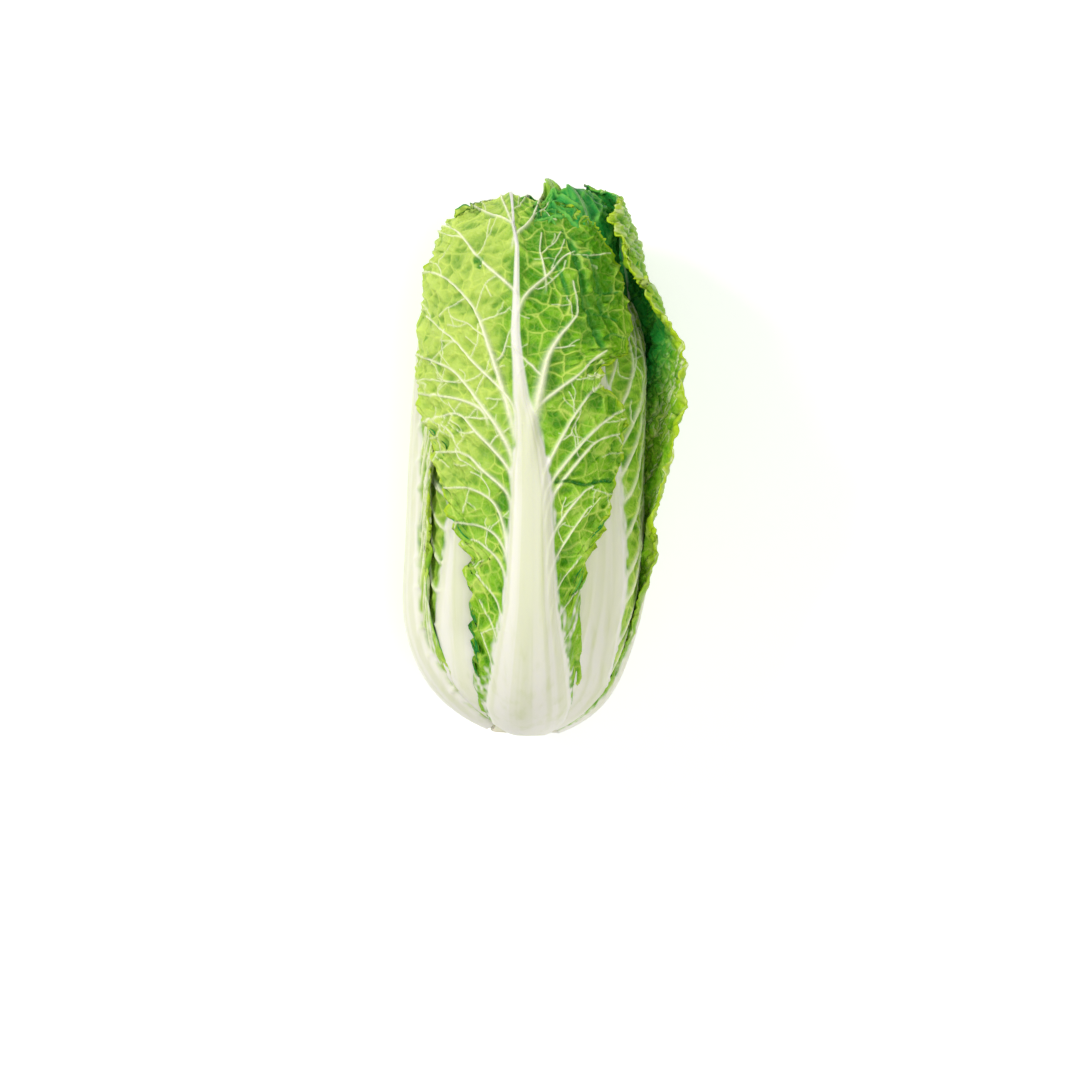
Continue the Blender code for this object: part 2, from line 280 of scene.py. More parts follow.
def leafPaint(name, look):
    paint = Paint(name)
    rib, vein, net = paint.mark("rib"), paint.mark("vein"), paint.mark("net")
    hollow, rim, inside = paint.mark("hollow"), paint.mark("rim"), paint.mark("inside")
    pale, band = paint.mark("pale"), paint.mark("band")
    patches = paint.noise(look["patchScale"], 3.0)
    fine = paint.noise(look["grainScale"], 3.0)
    veinlets = 1 - paint.ease(paint.veinlets(look["veinletScale"]), 0.0, 0.16)
    fibres = paint.noise(look["fibreScale"], 2.0, look["fibreStretch"])

    # the outer face: its green, paler in places and with painted light on the front leaf's upper left, then
    # painted shade in the hollows, a painted highlight on the crests, veinlets, rim, net and veins
    outer = paint.blend(paint.ease(patches * 0.5 + pale * 0.8, 0.25, 0.85), look["blade"], look["bladePaleAndLit"])
    outer = paint.blend(paint.ease(hollow, 0.34, 0.95) * (0.85 - pale * 0.26), outer, look["bladeShade"])
    outer = paint.blend((1 - paint.ease(hollow, 0.0, 0.36)) * 0.50, outer, look["crestHighlight"])
    outer = paint.blend(veinlets * 0.20 * (1 - hollow * 0.6), outer, look["net"])
    outer = paint.blend(rim, outer, look["rim"])
    outer = paint.blend(net * 0.9, outer, look["net"])
    outer = paint.blend(vein, outer, look["vein"])

    # the inner face, a deeper green, with painted shade in its hollows and a painted highlight on its crests
    face = paint.blend(paint.ease(patches, 0.3, 0.7), look["inside"], look["insideDeepAndShade"])
    face = paint.blend(paint.ease(hollow, 0.3, 0.9) * 0.5, face, look["insideDeepAndShade"])
    face = paint.blend((1 - paint.ease(hollow, 0.0, 0.35)) * 0.5, face, look["insideVeinAndHighlight"])
    face = paint.blend(veinlets * 0.08, face, look["insideVeinAndHighlight"])
    face = paint.blend(net * 0.5, face, look["insideVeinAndHighlight"])
    face = paint.blend(vein * 0.8, face, look["insideVeinAndHighlight"])
    face = paint.blend(rim, face, look["rim"])

    streaked = paint.ease(fibres, 0.46, 0.78) * 0.25 + band * 0.42
    white = paint.blend(streaked, look["ribWhite"], look["ribGreen"])
    colour = paint.blend(inside, outer, face)
    colour = paint.blend(rib, colour, white)
    gloss = look["roughness"] + 0.16 * (fine - 0.5) - 0.08 * rib
    grain = fine * 0.5 + veinlets * 0.9 * (1 - rib) + fibres * 0.6 * rib
    normal = paint.bump(grain, look["bump"], look["bumpDepth"])
    return paint.finish(
        colour, gloss, normal, Subsurface_Weight=look["glow"], Subsurface_Radius=look["glowReach"],
        Subsurface_Scale=look["glowScale"], Specular_IOR_Level=look["specular"],
    )


# What a leaf has unless its own settings say otherwise. Lengths are in metres and angles in degrees round the
# head. Pairs belong to the leaf's left and right side. Layer 0 is the outermost one.
usualLeaf = dict(
    # how far each side wraps at these heights, and half the rib's width
    heights=(0.020, 0.050, 0.100, 0.135, 0.180, 0.250, 0.300),
    ribHeights=(0.000, 0.020, 0.036, 0.085, 0.135, 0.185, 0.215, 0.240, 0.300),
    ribWidths=(0.017, 0.0215, 0.0230, 0.0175, 0.0125, 0.0085, 0.0036, 0.0018, 0.0005),
    widest=34, ribBase=0.6, ribFade=0.85, ribFullTo=0.35, ribThinAt=0.95, groove=0.0004,
    frill=(0.0010, 0.0010), lobes=(0.002, 0.002), rimWidth=0.0022, veinWidth=1.0, veinClimb=0.0,
    # wings that stand off their layer: from and to azimuth, layers outwards, from and to height
    flares=(),
    # folds that run up to the tip: where they start, as a share of the leaf, and how many
    folds=(1.0, 0),
    # a crumpled place, and places of painted shade: azimuth, height, width in degrees and length, then how dark;
    # and how much painted shade lies in the folds
    crumpled=(0, -1, 1, 0.1), shades=(), foldShade=0.0,
    # the shares of the leaf between which its outside takes the inside's green
    darkTip=(2, 3), tipRise=0.0, tipPuff=1.0, tipWrap=1.0,
    # how pale a leaf is, and how much light is painted on its left side as a paler green
    pale=0.3, paintedLightLeft=0.0, grain=1.0, fineInside=False, slot="outer_leaf",
)
leaves = dict(
    leaf_underside=dict(
        azimuth=183, layer=1, rib=0.0070, ribFullTo=0.58, endRadius=0.024, lean=4, grid=(120, 74),
        left=(30, 30, 36, 46, 55, 55, 48), right=(36, 32, 38, 48, 57, 57, 50), frill=(0.003, 0.003),
        teeth=(0.0015, 0.0015), lobes=(0.004, 0.004), puff=0.8,
    ),
    leaf_right_open=dict(
        azimuth=110, layer=0, rib=0.0034, ribBase=0.35, endRadius=0.030, lean=12, grid=(230, 130),
        heights=(0.020, 0.050, 0.100, 0.135, 0.180, 0.235, 0.262, 0.290, 0.300),
        left=(30, 30, 38, 52, 62, 66, 74, 82, 80), right=(42, 42, 42, 46, 48, 48, 49, 50, 50),
        ribHeights=(0.000, 0.036, 0.085, 0.135, 0.185, 0.215, 0.240, 0.300),
        ribWidths=(0.014, 0.0180, 0.0130, 0.0080, 0.0030, 0.0014, 0.0008, 0.0004),
        # how far the near wing is rolled open, from 0 to 1
        openHeights=(0.075, 0.115, 0.165, 0.190, 0.215, 0.250, 0.290),
        openShares=(0, 0.35, 0.74, 0.74, 0.60, 0.14, 0), flares=((108, 86, -0.7, 0, 0.001),), frill=(0.007, 0.002),
        teeth=(0.0020, 0.0012), lobes=(0.009, 0.004), rimWidth=0.010, puff=1.6, tipRise=0.004, folds=(0.45, 12),
        darkTip=(0.50, 0.63), veinWidth=0.65, pale=0.0, grain=0.35, fineInside=True,
    ),
    leaf_front=dict(
        azimuth=0, layer=2, rib=0.0062, ribFullTo=0.28, ribThinAt=0.74, ribFade=0.88, ribBase=0.85, widest=50,
        endRadius=0.024, lean=-3, grid=(300, 150), frill=(0.0055, 0.0034),
        heights=(0.000, 0.025, 0.050, 0.075, 0.092, 0.096, 0.104, 0.112, 0.125, 0.137, 0.150, 0.165, 0.172,
                 0.181, 0.185, 0.190, 0.197, 0.202, 0.207, 0.220, 0.235, 0.253, 0.257, 0.262, 0.285, 0.300),
        left=(34, 29, 25, 25, 30, 26, 33, 36, 42, 47, 50, 54, 60,
              65, 66, 67, 68, 70, 71, 72, 72, 71, 62, 73, 72, 66),
        right=(36, 32, 27, 27, 32, 33, 37, 41, 46, 50, 54, 55, 55,
               50, 40, 38, 39, 50, 62, 65, 64, 57, 56, 53, 38, 34),
        ribHeights=(0.000, 0.019, 0.046, 0.073, 0.100, 0.127, 0.140, 0.150, 0.160,
                    0.170, 0.180, 0.190, 0.200, 0.215, 0.240, 0.262, 0.275, 0.300),
        ribWidths=(0.019, 0.0242, 0.0196, 0.0142, 0.0124, 0.0112, 0.0102, 0.0086, 0.0068,
                   0.0052, 0.0040, 0.0032, 0.0026, 0.0022, 0.0014, 0.0009, 0.0006, 0.0003),
        # how far the rib's line is from the head's axis
        ribLineHeights=(0.000, 0.127, 0.154, 0.170, 0.181, 0.214, 0.235, 0.261, 0.273, 0.300),
        ribLineAcross=(0.0027, 0.0038, 0.0026, 0.0006, -0.0018, -0.0047, -0.0043, -0.0038, -0.0054, -0.0060),
        # painted light makes its upper left paler
        teeth=(0.0034, 0.0030), lobes=(0.003, 0.003), puff=1.0, pale=0.1, paintedLightLeft=0.8,
        crumpled=(39, 0.238, 11, 0.045), foldShade=0.6,
        # painted shade: darker places beside the rib and in the crumpled right, and small dark pits on the left
        shades=((10, 0.272, 20, 0.034, 0.5), (38, 0.235, 11, 0.040, 0.60), (18, 0.205, 20, 0.03, 0.25),
                (-60, 0.222, 1.5, 0.0035, 0.9), (-52, 0.220, 1.2, 0.0030, 0.9), (-63, 0.213, 1.6, 0.0030, 0.9),
                (-48, 0.209, 1.2, 0.0035, 0.9), (-58, 0.203, 1.5, 0.0030, 0.9), (-50, 0.199, 1.2, 0.0035, 0.9)),
    ),
    leaf_left=dict(
        azimuth=-88, layer=3, rib=0.0064, endRadius=0.019, lean=3, grid=(150, 90),
        left=(58, 58, 62, 66, 70, 70, 62), right=(25, 26, 26, 26, 36, 66, 58), frill=(0.0016, 0.0016),
        flares=((-106, -132, 1.3, 0, 0.001),), teeth=(0.0022, 0.0024), lobes=(0.003, 0.003),
        puff=0.8, pale=0.4,
    ),
    leaf_right_middle=dict(
        azimuth=41, layer=5, rib=0.0046, endRadius=0.026, lean=-2, grid=(190, 110), puff=0.5, groove=0.0012,
        flares=((43, 71, 3.6, 0.203, 0.170), (0, 1, 2.4, 0.235, 0.265), (18, 28, 1.1, 0.050, 0.028),
                (43, 71, -1.1, 0.050, 0.028)),
        ribWidths=(0.017, 0.0225, 0.0245, 0.0215, 0.0170, 0.0125, 0.0050, 0.0012, 0.0005),
        left=(30, 27, 30, 40, 52, 54, 46), right=(64, 64, 66, 68, 70, 70, 58), teeth=(0.0018, 0.0018),
        # its tip's outside takes the inside's deeper green as painted shade
        tipRise=0.008, darkTip=(0.72, 0.84), tipPuff=2.2, folds=(0.70, 15), veinClimb=0.20,
    ),
    leaf_left_middle=dict(
        azimuth=-36, layer=6, rib=0.0050, endRadius=0.014, lean=-4, grid=(150, 90), puff=0.6,
        flares=((-44, -60, 1.7, 0.030, 0.060), (-18, -30, 2.0, 0.060, 0.030)), teeth=(0.0022, 0.0020),
        left=(48, 50, 52, 56, 66, 68, 56), right=(28, 27, 30, 42, 60, 66, 56),
    ),
    leaf_back_left=dict(
        azimuth=-135, layer=7, rib=0.0048, endRadius=0.012, lean=4, grid=(110, 66), puff=0.7,
        left=(32, 32, 40, 50, 60, 62, 54), right=(32, 32, 40, 50, 60, 62, 54), teeth=(0.0020, 0.0020),
        flares=((-118, -150, 3.8, 0.03, 0.08),),
    ),
    leaf_back_right=dict(
        azimuth=145, layer=8, rib=0.0048, endRadius=0.010, lean=-4, grid=(110, 66), puff=0.7,
        left=(32, 32, 40, 52, 62, 64, 54), right=(28, 28, 36, 48, 62, 64, 54), teeth=(0.0020, 0.0020),
        flares=((138, 172, 4.4, 0.03, 0.08),),
    ),
)
innerWrap = (36, 40, 46, 56, 66, 68, 60)
innerLeaf = dict(
    rib=0.0018, grid=(80, 50), left=innerWrap, right=innerWrap, frill=(0.0008, 0.0008), teeth=(0.0012, 0.0012),
    lobes=(0.001, 0.001), puff=0.5, slot="inner_leaf",
)
leaves["leaf_inner_1"] = innerLeaf | dict(
    azimuth=20, layer=9, endRadius=0.012, lean=6, tipRise=0.028, tipWrap=0.3, darkTip=(0.86, 0.94),
)
leaves["leaf_inner_2"] = innerLeaf | dict(azimuth=-122, layer=10, endRadius=0.007, lean=-6)
leaves["leaf_inner_3"] = innerLeaf | dict(azimuth=100, layer=10.9, endRadius=0.005, lean=5)

growth = dict(
    lowestWing=math.radians(3), veinSweep=0.055, sweepPower=1.3, tipRounding=0.018, tipFray=0.008,
    frayReach=0.030, blade=0.0010, marginThickness=0.0006, hingeFromRib=math.radians(3), outwardCurl=1.0,
    toothPitch=0.0085, toothTop=0.74, nickPitch=0.0022, nickDepth=0.0012,
)


def rollOpen(radius, azimuth, hinge, share):
    beyond = np.clip(hinge - azimuth, 0, None) * radius
    bend = (1 - share) / radius - share * growth["outwardCurl"]
    bend = np.where(np.abs(bend) < 1e-3, 1e-3, bend)
    forward, inward = np.sin(bend * beyond) / bend, (1 - np.cos(bend * beyond)) / bend
    x = (radius - inward) * np.sin(hinge) - forward * np.cos(hinge)
    z = (radius - inward) * np.cos(hinge) + forward * np.sin(hinge)
    closed = azimuth > hinge
    return np.where(closed, radius, np.hypot(x, z)), np.where(closed, azimuth, np.arctan2(x, z))


def leafCourse(leaf, layer):
    # this layer's shell, where on it the leaf starts, and how long the leaf is
    shell = Shell(layer * head["layerPitch"])
    start = shell.arcFromStump(head["stumpRadius"] + head["gap"])
    return shell, start, shell.arcFromTip(leaf["endRadius"]) - start


def marginJag(leaf, share, along, side):
    # how far the margin stands out: upward teeth low down, scallops further up, and nicks
    phase = along / growth["toothPitch"] + 1.1 * lineNoise(along, 0.021, seeds["margin"])
    climbing, top = phase % 1.0, growth["toothTop"]
    saw = np.where(climbing < top, (climbing / top) ** 1.3, (1 - climbing) / (1 - top)) - 0.45
    scallop = waves(along, 0.017, 0.0065, seeds["margin"] + 1) - 0.75
    nick = lineNoise(along, growth["nickPitch"], seeds["margin"] + 3) - 0.5
    teeth, lobes = (np.where(side < 0, *leaf[key]) for key in ("teeth", "lobes"))
    lowDown = 1 - 0.6 * smooth(0.40, 0.55, share)
    jag = teeth * saw * lowDown + lobes * scallop * smooth(0.1, 0.5, share) + growth["nickDepth"] * nick
    return jag * smooth(0.03, 0.12, share)


def leafSheet(leaf, share, across):
    # Points on a leaf's inner face: share runs from the stump to the tip, across from -2 to 2, past 1 in the
    # blade. The last value is where they are on the closed head, where veins and nets are laid.
    shell, start, length = leafCourse(leaf, leaf["layer"])
    side = np.sign(across)
    inRib, inBlade = np.clip(np.abs(across), 0, 1), np.clip(np.abs(across) - 1, 0, 1)
    climb = growth["veinSweep"] * np.sin(math.pi * share) - growth["tipRounding"] * share**6
    frayed = waves(across * growth["frayReach"], 0.009, 0.0035, seeds["margin"] + 4, 0.6)
    frayed = growth["tipFray"] * (frayed - 1.3) * smooth(0.80, 1.0, share)
    spineRadius, spineHeight = shell.at(start + length * share)
    radius, height = shell.at(start + length * share + climb * inBlade ** growth["sweepPower"] + frayed)

    ribAngle = np.interp(spineHeight, leaf["ribHeights"], leaf["ribWidths"]) / spineRadius
    ribAngle = np.minimum(ribAngle, math.radians(leaf["widest"]))
    leftWrap, rightWrap = (np.interp(height, leaf["heights"], leaf[key]) for key in ("left", "right"))
    narrowed = (1 - 0.18 * smooth(0.85, 1.0, share)) * (1 - (1 - leaf["tipWrap"]) * smooth(0.86, 0.97, share))
    wrap = np.radians(np.where(side < 0, leftWrap, rightWrap)) * narrowed
    along = length * share + 0.5 * side * leaf["azimuth"] / 180 + leaf["layer"] * 0.1
    jag = marginJag(leaf, share, along, side)
    marginLine = math.radians(leaf["azimuth"]) + math.radians(leaf["lean"]) * smooth(0.2, 1.0, share)
    ribLine = marginLine
    if "ribLineAcross" in leaf:
        beside = np.interp(spineHeight, leaf["ribLineHeights"], leaf["ribLineAcross"])
        ribLine = np.arcsin(np.clip((beside - bendShift(spineHeight)) / spineRadius, -1, 1))
    bladeAngle = wrap - ribAngle + jag / np.maximum(radius, 0.03) - side * (ribLine - marginLine)
    azimuth = ribLine + side * (ribAngle * inRib + np.maximum(bladeAngle, growth["lowestWing"]) * inBlade)
    laid = bent(radius, azimuth, height)

    frill = np.where(side < 0, *leaf["frill"]) * waves(along, 0.011, 0.0045, seeds["frill"])
    radius = radius + frill * inBlade**2.6 * smooth(0.10, 0.30, share)
    for fromAzimuth, toAzimuth, layers, fromHeight, toHeight in leaf["flares"]:
        turned = smooth(fromAzimuth, toAzimuth, np.degrees(azimuth))
        turned = turned * smooth(fromHeight, toHeight, spineHeight)
        other, otherStart, otherLength = leafCourse(leaf, leaf["layer"] - layers)
        otherRadius, otherHeight = other.at(otherStart + otherLength * share)
        radius = radius + (otherRadius - spineRadius) * turned
        height = height + (otherHeight - spineHeight) * turned
    if "openShares" in leaf:
        opened = np.interp(height, leaf["openHeights"], leaf["openShares"])
        radius, azimuth = rollOpen(radius, azimuth, ribLine - growth["hingeFromRib"], opened)
    height = height + leaf["tipRise"] * smooth(0.75, 1.0, share)

    rib = leaf["rib"] * (leaf["ribBase"] + (1 - leaf["ribBase"]) * smooth(0.0, 0.12, share))
    rib = rib * (1 - leaf["ribFade"] * smooth(leaf["ribFullTo"], leaf["ribThinAt"], share))
    rib = rib * (1 - 0.9 * smooth(0.84, 1.0, share))
    crown = (1 - inRib**2) ** (0.7 + 0.9 * smooth(0.35, 0.7, share))
    thickness = growth["blade"] + (growth["marginThickness"] - growth["blade"]) * inBlade + rib * crown
    inwards = (inRib - 1) * ribAngle * spineRadius
    fromRib = np.where(inBlade > 0, np.abs(bladeAngle) * inBlade * radius, inwards)
    toMargin = (1 - inBlade) * np.maximum(bladeAngle, growth["lowestWing"]) * radius
    return bent(radius, azimuth, height), thickness, fromRib, toMargin, laid


def onHead(layer, path):
    # where a layer has the points that the camera sees this far from the axis and this high
    across, along = path[:, 0], path[:, 1]
    shell = Shell(layer * head["layerPitch"])
    depth = np.zeros_like(across)
    for _ in range(3):
        scale = (shot["distance"] - depth) / shot["distance"]
        height = shot["aimAlong"] + (along - shot["aimAlong"]) * scale
        x = shot["aimAcross"] + (across - shot["aimAcross"]) * scale - bendShift(height)
        radius = shell.radiusAt(np.clip(height, 0.0, shell.height[-1] - 0.0005))
        depth = np.sqrt(np.maximum(radius**2 - x**2, 0.0))
    return bent(radius, np.arcsin(np.clip(x / np.maximum(radius, 1e-4), -1, 1)), height)


def smoothPath(corners, count):
    # a curve through the corners
    corners = np.asarray(corners, float)
    if len(corners) < 3:
        share = np.linspace(0, 1, count)[:, None]
        return corners[0] + (corners[-1] - corners[0]) * share
    padded = np.vstack([2 * corners[0] - corners[1], corners, 2 * corners[-1] - corners[-2]])
    made = []
    for place in np.linspace(0, len(corners) - 1 - 1e-6, count):
        index = int(place)
        part = place - index
        a, b, c, d = padded[index:index + 4]
        squared, cubed = 2 * a - 5 * b + 4 * c - d, 3 * b - a - 3 * c + d
        made.append((2 * b + (c - a) * part + squared * part**2 + cubed * part**3) / 2)
    return np.array(made)


# The front leaf's veins as the camera sees them: (across, along) in mm, from the rib to the margin,
# then half width and height in mm at the two ends.
frontVeins = [
    (((-5.4, 240), (-23.2, 256.5), (-34.0, 270.5), (-42.1, 276)), 1.3, 0.5),
    (((-6.5, 168), (-12.4, 189), (-18.4, 208.4), (-24.3, 225.2), (-30.8, 236), (-44.3, 248.9), (-56.2, 249.5)),
     2.2, 0.6),
    (((-5.0, 166), (-7.6, 180.9), (-27.5, 202), (-37.3, 213.8), (-50.8, 226.3)), 1.8, 0.5),
    (((-7.0, 150), (-13.5, 164.7), (-20, 174.4), (-35.1, 194.4), (-44.3, 200.9), (-56, 206)), 2.0, 0.6),
    (((-22, 175), (-31, 180.5), (-42.1, 183.1), (-49.1, 184.1), (-58, 186)), 1.1, 0.5),
    (((-8.6, 143.6), (-25.4, 163.6), (-36.2, 173.9), (-50.8, 169)), 1.7, 0.5),
    (((-9.2, 130.1), (-22.1, 143.1), (-31.9, 152.3), (-45.4, 153.4)), 1.6, 0.5),
    (((-11.3, 112.3), (-16.7, 125.8), (-28.6, 133.4), (-42.1, 133.9)), 1.4, 0.5),
    (((-11.9, 102.6), (-21.6, 112.3), (-37.3, 115.6)), 1.3, 0.5),
    (((-12.5, 92), (-23.2, 103.7), (-28, 106)), 1.1, 0.4),
    (((-7.6, 277), (-21.6, 283), (-29.7, 289.4), (-38, 291)), 1.0, 0.4),
    (((-5.4, 272.7), (-12.4, 290), (-15, 297)), 1.1, 0.5),
    (((-4.9, 270), (3.2, 278.6), (8.1, 290.5), (10, 298)), 1.1, 0.5),
    (((-3.5, 229), (1.1, 238.7), (13, 249.5), (20, 258.1), (27, 262)), 1.4, 0.5),
    (((11, 248), (9.5, 256), (8.1, 262.4), (9, 272)), 0.8, 0.4),
    (((3.0, 158), (4.8, 172), (8.6, 189.5), (11.9, 204.1), (17.8, 214.9), (25.4, 224.1), (28.6, 230.6),
      (25.4, 245.2)), 3.8, 0.5),
    (((7.2, 178), (17.8, 187), (27.5, 194.4), (34.6, 202), (42, 207)), 1.5, 0.5),
    (((11, 143), (22.1, 165.8), (36.2, 187.4), (42, 194)), 1.6, 0.5),
    (((13, 135), (35.1, 163.6), (48.1, 174.4), (55, 178)), 1.5, 0.5),
    (((14, 128), (32.4, 153.4), (40, 160), (49, 163)), 1.4, 0.5),
    (((14.6, 108), (28.6, 129.1), (36, 135)), 1.3, 0.5),
    (((15, 93), (30.8, 119.3), (35, 124)), 1.2, 0.4),
    (((16, 77), (29.7, 97.2)), 0.7, 0.4),
    (((17, 62), (28.1, 78.8)), 0.6, 0.35),
    (((18.5, 46), (27, 61.6)), 0.5, 0.35),
    (((-14.8, 72), (-25.9, 86.9)), 0.8, 0.4),
    (((-16, 56), (-24.3, 73.4)), 0.6, 0.35),
    (((-18, 40), (-23.2, 56.2)), 0.5, 0.35),
]


# Folds in the front leaf as the camera sees them, in mm: across and along, then half width and depth.
frontCreases = [
    (((25, 272), (28.5, 254), (31.0, 244), (32.5, 235), (36.0, 225), (38.5, 216), (41, 207)), 1.7, 3.2),
    (((33, 262), (38, 250), (41, 240), (43, 226)), 1.2, 2.6),
    (((36, 242), (42, 239), (50, 240)), 0.7, 1.2),
    (((37, 228), (44, 227), (51, 224)), 0.8, 1.3),
    (((41, 214), (47, 217), (53, 214)), 0.7, 1.2),
    (((27, 262), (33, 258), (40, 259)), 0.7, 1.1),
    (((20, 274), (24, 266), (26, 256)), 0.8, 1.2),
    (((14.5, 137), (24, 137.5), (33, 135.5), (40, 137.5), (50, 138)), 0.9, 2.4),
    (((-27.5, 256), (-23.5, 257), (-25.0, 252)), 1.6, 2.0),
    (((12, 262), (18, 252), (24, 236)), 1.2, 0.8),
]


# Smaller veins: how far apart and how long those on the front leaf are, and their own side twigs.
twigs = dict(
    spacing=0.0125, rightSpacing=0.0190, reach=0.024, sprigSpacing=0.013, sprigReach=0.012, thinnest=0.00031,
)


def branches(path, pick, spacing, reach, widths):
    # smaller veins that leave a vein by turns on its two sides: flat paths in metres, with their widths
    made = []
    steps = np.hypot(*np.diff(path, axis=0).T)
    along = np.concatenate([[0], np.cumsum(steps)])
    place, side = spacing * pick.uniform(0.4, 1.0), pick.choice([-1, 1])
    while place < along[-1] * 0.97:
        root = np.array([np.interp(place, along, path[:, k]) for k in (0, 1)])
        ahead = np.array([np.interp(place + 0.001, along, path[:, k]) for k in (0, 1)]) - root
        heading = math.atan2(ahead[1], ahead[0]) + side * pick.uniform(0.8, 1.35)
        length = reach * pick.uniform(0.5, 1.1)
        bend = -side * pick.uniform(0.0, 0.5)
        points = [root]
        for step in range(9):
            heading += bend / 9 + pick.normal(0, 0.20)
            points.append(points[-1] + length / 9 * np.array([math.cos(heading), math.sin(heading)]))
        share = np.linspace(0, 1, len(points))
        wide = np.interp(place, along, widths) * pick.uniform(0.28, 0.42)
        made.append((np.array(points), np.maximum(wide * (1 - 0.4 * share), twigs["thinnest"])))
        place += spacing * pick.uniform(0.6, 1.4)
        side = -side
    return made


def frontLeafVeins(leaf):
    made = []
    pick = np.random.default_rng(seeds["veins"])
    for corners, thick, thin in frontVeins:
        corners = np.array(corners) * 0.001
        root, away = corners[0], corners[1] - corners[0]
        away = away / np.linalg.norm(away)
        tail = root - np.array([0.35 * away[0], 1.0]) * (0.022 if root[1] < 0.16 else 0.010)
        path = smoothPath(np.vstack([tail, corners]), 28)
        grown = np.linspace(0, 1, len(path))
        widths = (thick + (thin - thick) * smooth(0.12, 0.9, grown)) * 0.00086
        raised = 0.25 * smooth(0.0, 0.16, grown) + 0.9 * smooth(0.16, 0.4, grown)
        made.append((onHead(leaf["layer"], path), widths, widths * raised))
        freed = grown >= (0.30 if root[1] > 0.085 else 0.75)
        spacing = twigs["spacing"] if root[0] < 0 else twigs["rightSpacing"]
        for twig, twigWidths in branches(path[freed], pick, spacing, twigs["reach"], widths[freed]):
            made.append((onHead(leaf["layer"], twig), twigWidths, twigWidths * 0.8))
            sprigs = branches(twig, pick, twigs["sprigSpacing"], twigs["sprigReach"], twigWidths)
            for sprig, sprigWidths in sprigs:
                made.append((onHead(leaf["layer"], sprig), sprigWidths, sprigWidths * 0.6))
    return made


def frontLeafCreases(leaf):
    made = []
    for corners, wide, deep in frontCreases:
        path = smoothPath(np.array(corners) * 0.001, 24)
        grown = np.linspace(0, 1, len(path))
        fade = smooth(0.0, 0.2, grown) * (1 - smooth(0.85, 1.0, grown)) + 0.001
        made.append((onHead(leaf["layer"], path), np.full(len(path), wide * 0.001), deep * 0.001 * fade))
    return made


def tipFolds(leaf):
    # folds that run up a leaf to its crumpled tip
    made = []
    start, count = leaf["folds"]
    pick = np.random.default_rng(seeds["crumple"])
    for across in np.linspace(-1.92, 1.92, count):
        reach = np.linspace(0, 1, 18)
        wander = 0.5 * (lineNoise(reach + 3 * across, 0.22, seeds["crumple"] + 8) - 0.5)
        low = start + pick.uniform(0.0, 0.12)
        path = leafSheet(leaf, low + (1 - low) * reach, np.clip(across + wander, -2, 2))[4]
        fade = smooth(0.0, 0.25, reach) * pick.uniform(0.5, 1.0) + 0.001
        made.append((path, np.full(len(path), skin["foldWidth"]), skin["foldDepth"] * fade))
    return made


def sideVeins(leaf, name):
    # side veins either side of the rib, most of them forked once
    pick = np.random.default_rng(seeds["veins"] + len(name) * 7 + int(leaf["layer"] * 10))
    made = []
    for side in (-1, 1):
        share = 0.07 + pick.uniform(0, 0.03)
        while share < 0.95:
            reach = np.linspace(0.0, 1.0, 22)
            drift = pick.uniform(-0.02, 0.02) * reach**2
            climb = leaf["veinClimb"] * reach
            shares = np.clip(share - 0.05 * (1 - smooth(0.0, 0.25, reach)) + drift + climb, 0.0, 1.0)
            across = side * (0.55 + 1.43 * reach)
            path = leafSheet(leaf, shares, across)[4]
            path = path + 0.0012 * (softNoise(path, 0.009, seeds["wander"])[:, None] - 0.5)
            thick = pick.uniform(0.9, 1.3) * 0.001 * leaf["veinWidth"]
            widths = thick + (0.0004 - thick) * smooth(0.1, 1.0, reach)
            made.append((path, widths, widths * smooth(0.0, 0.3, reach)))
            split = pick.integers(8, 13)
            forkReach = np.linspace(0, 1, 12)
            forkShares = np.clip(shares[split] + pick.choice([-1, 1]) * 0.035 * forkReach**0.8, 0.0, 1.0)
            forkAcross = across[split] + side * (2 - abs(across[split])) * forkReach
            path = leafSheet(leaf, forkShares, forkAcross)[4]
            widths = widths[split] * (0.8 - 0.4 * forkReach)
            made.append((path, widths, widths))
            # twigs are grown on the leaf rolled flat, at the width that its blade has here
            wide = float(leafSheet(leaf, shares[10:11], np.array([side * 1.001]))[3][0])
            for trunkAcross, trunkShares in ((across, shares), (forkAcross, forkShares)):
                trunk = np.stack([(np.abs(trunkAcross) - 1) * wide, trunkShares * skin["leafLength"]], -1)
                trunk = trunk[np.abs(trunkAcross) > 1.08]
                for twig, twigWidths in branches(trunk, pick, 0.011, 0.016, np.full(len(trunk), 0.0011)):
                    reachAcross = side * (1 + np.clip(twig[:, 0] / max(wide, 0.012), 0.0, 1.0))
                    path = leafSheet(leaf, np.clip(twig[:, 1] / skin["leafLength"], 0, 1), reachAcross)[4]
                    made.append((path, twigWidths, twigWidths * 0.8))
            share += pick.uniform(0.045, 0.07)
    return made


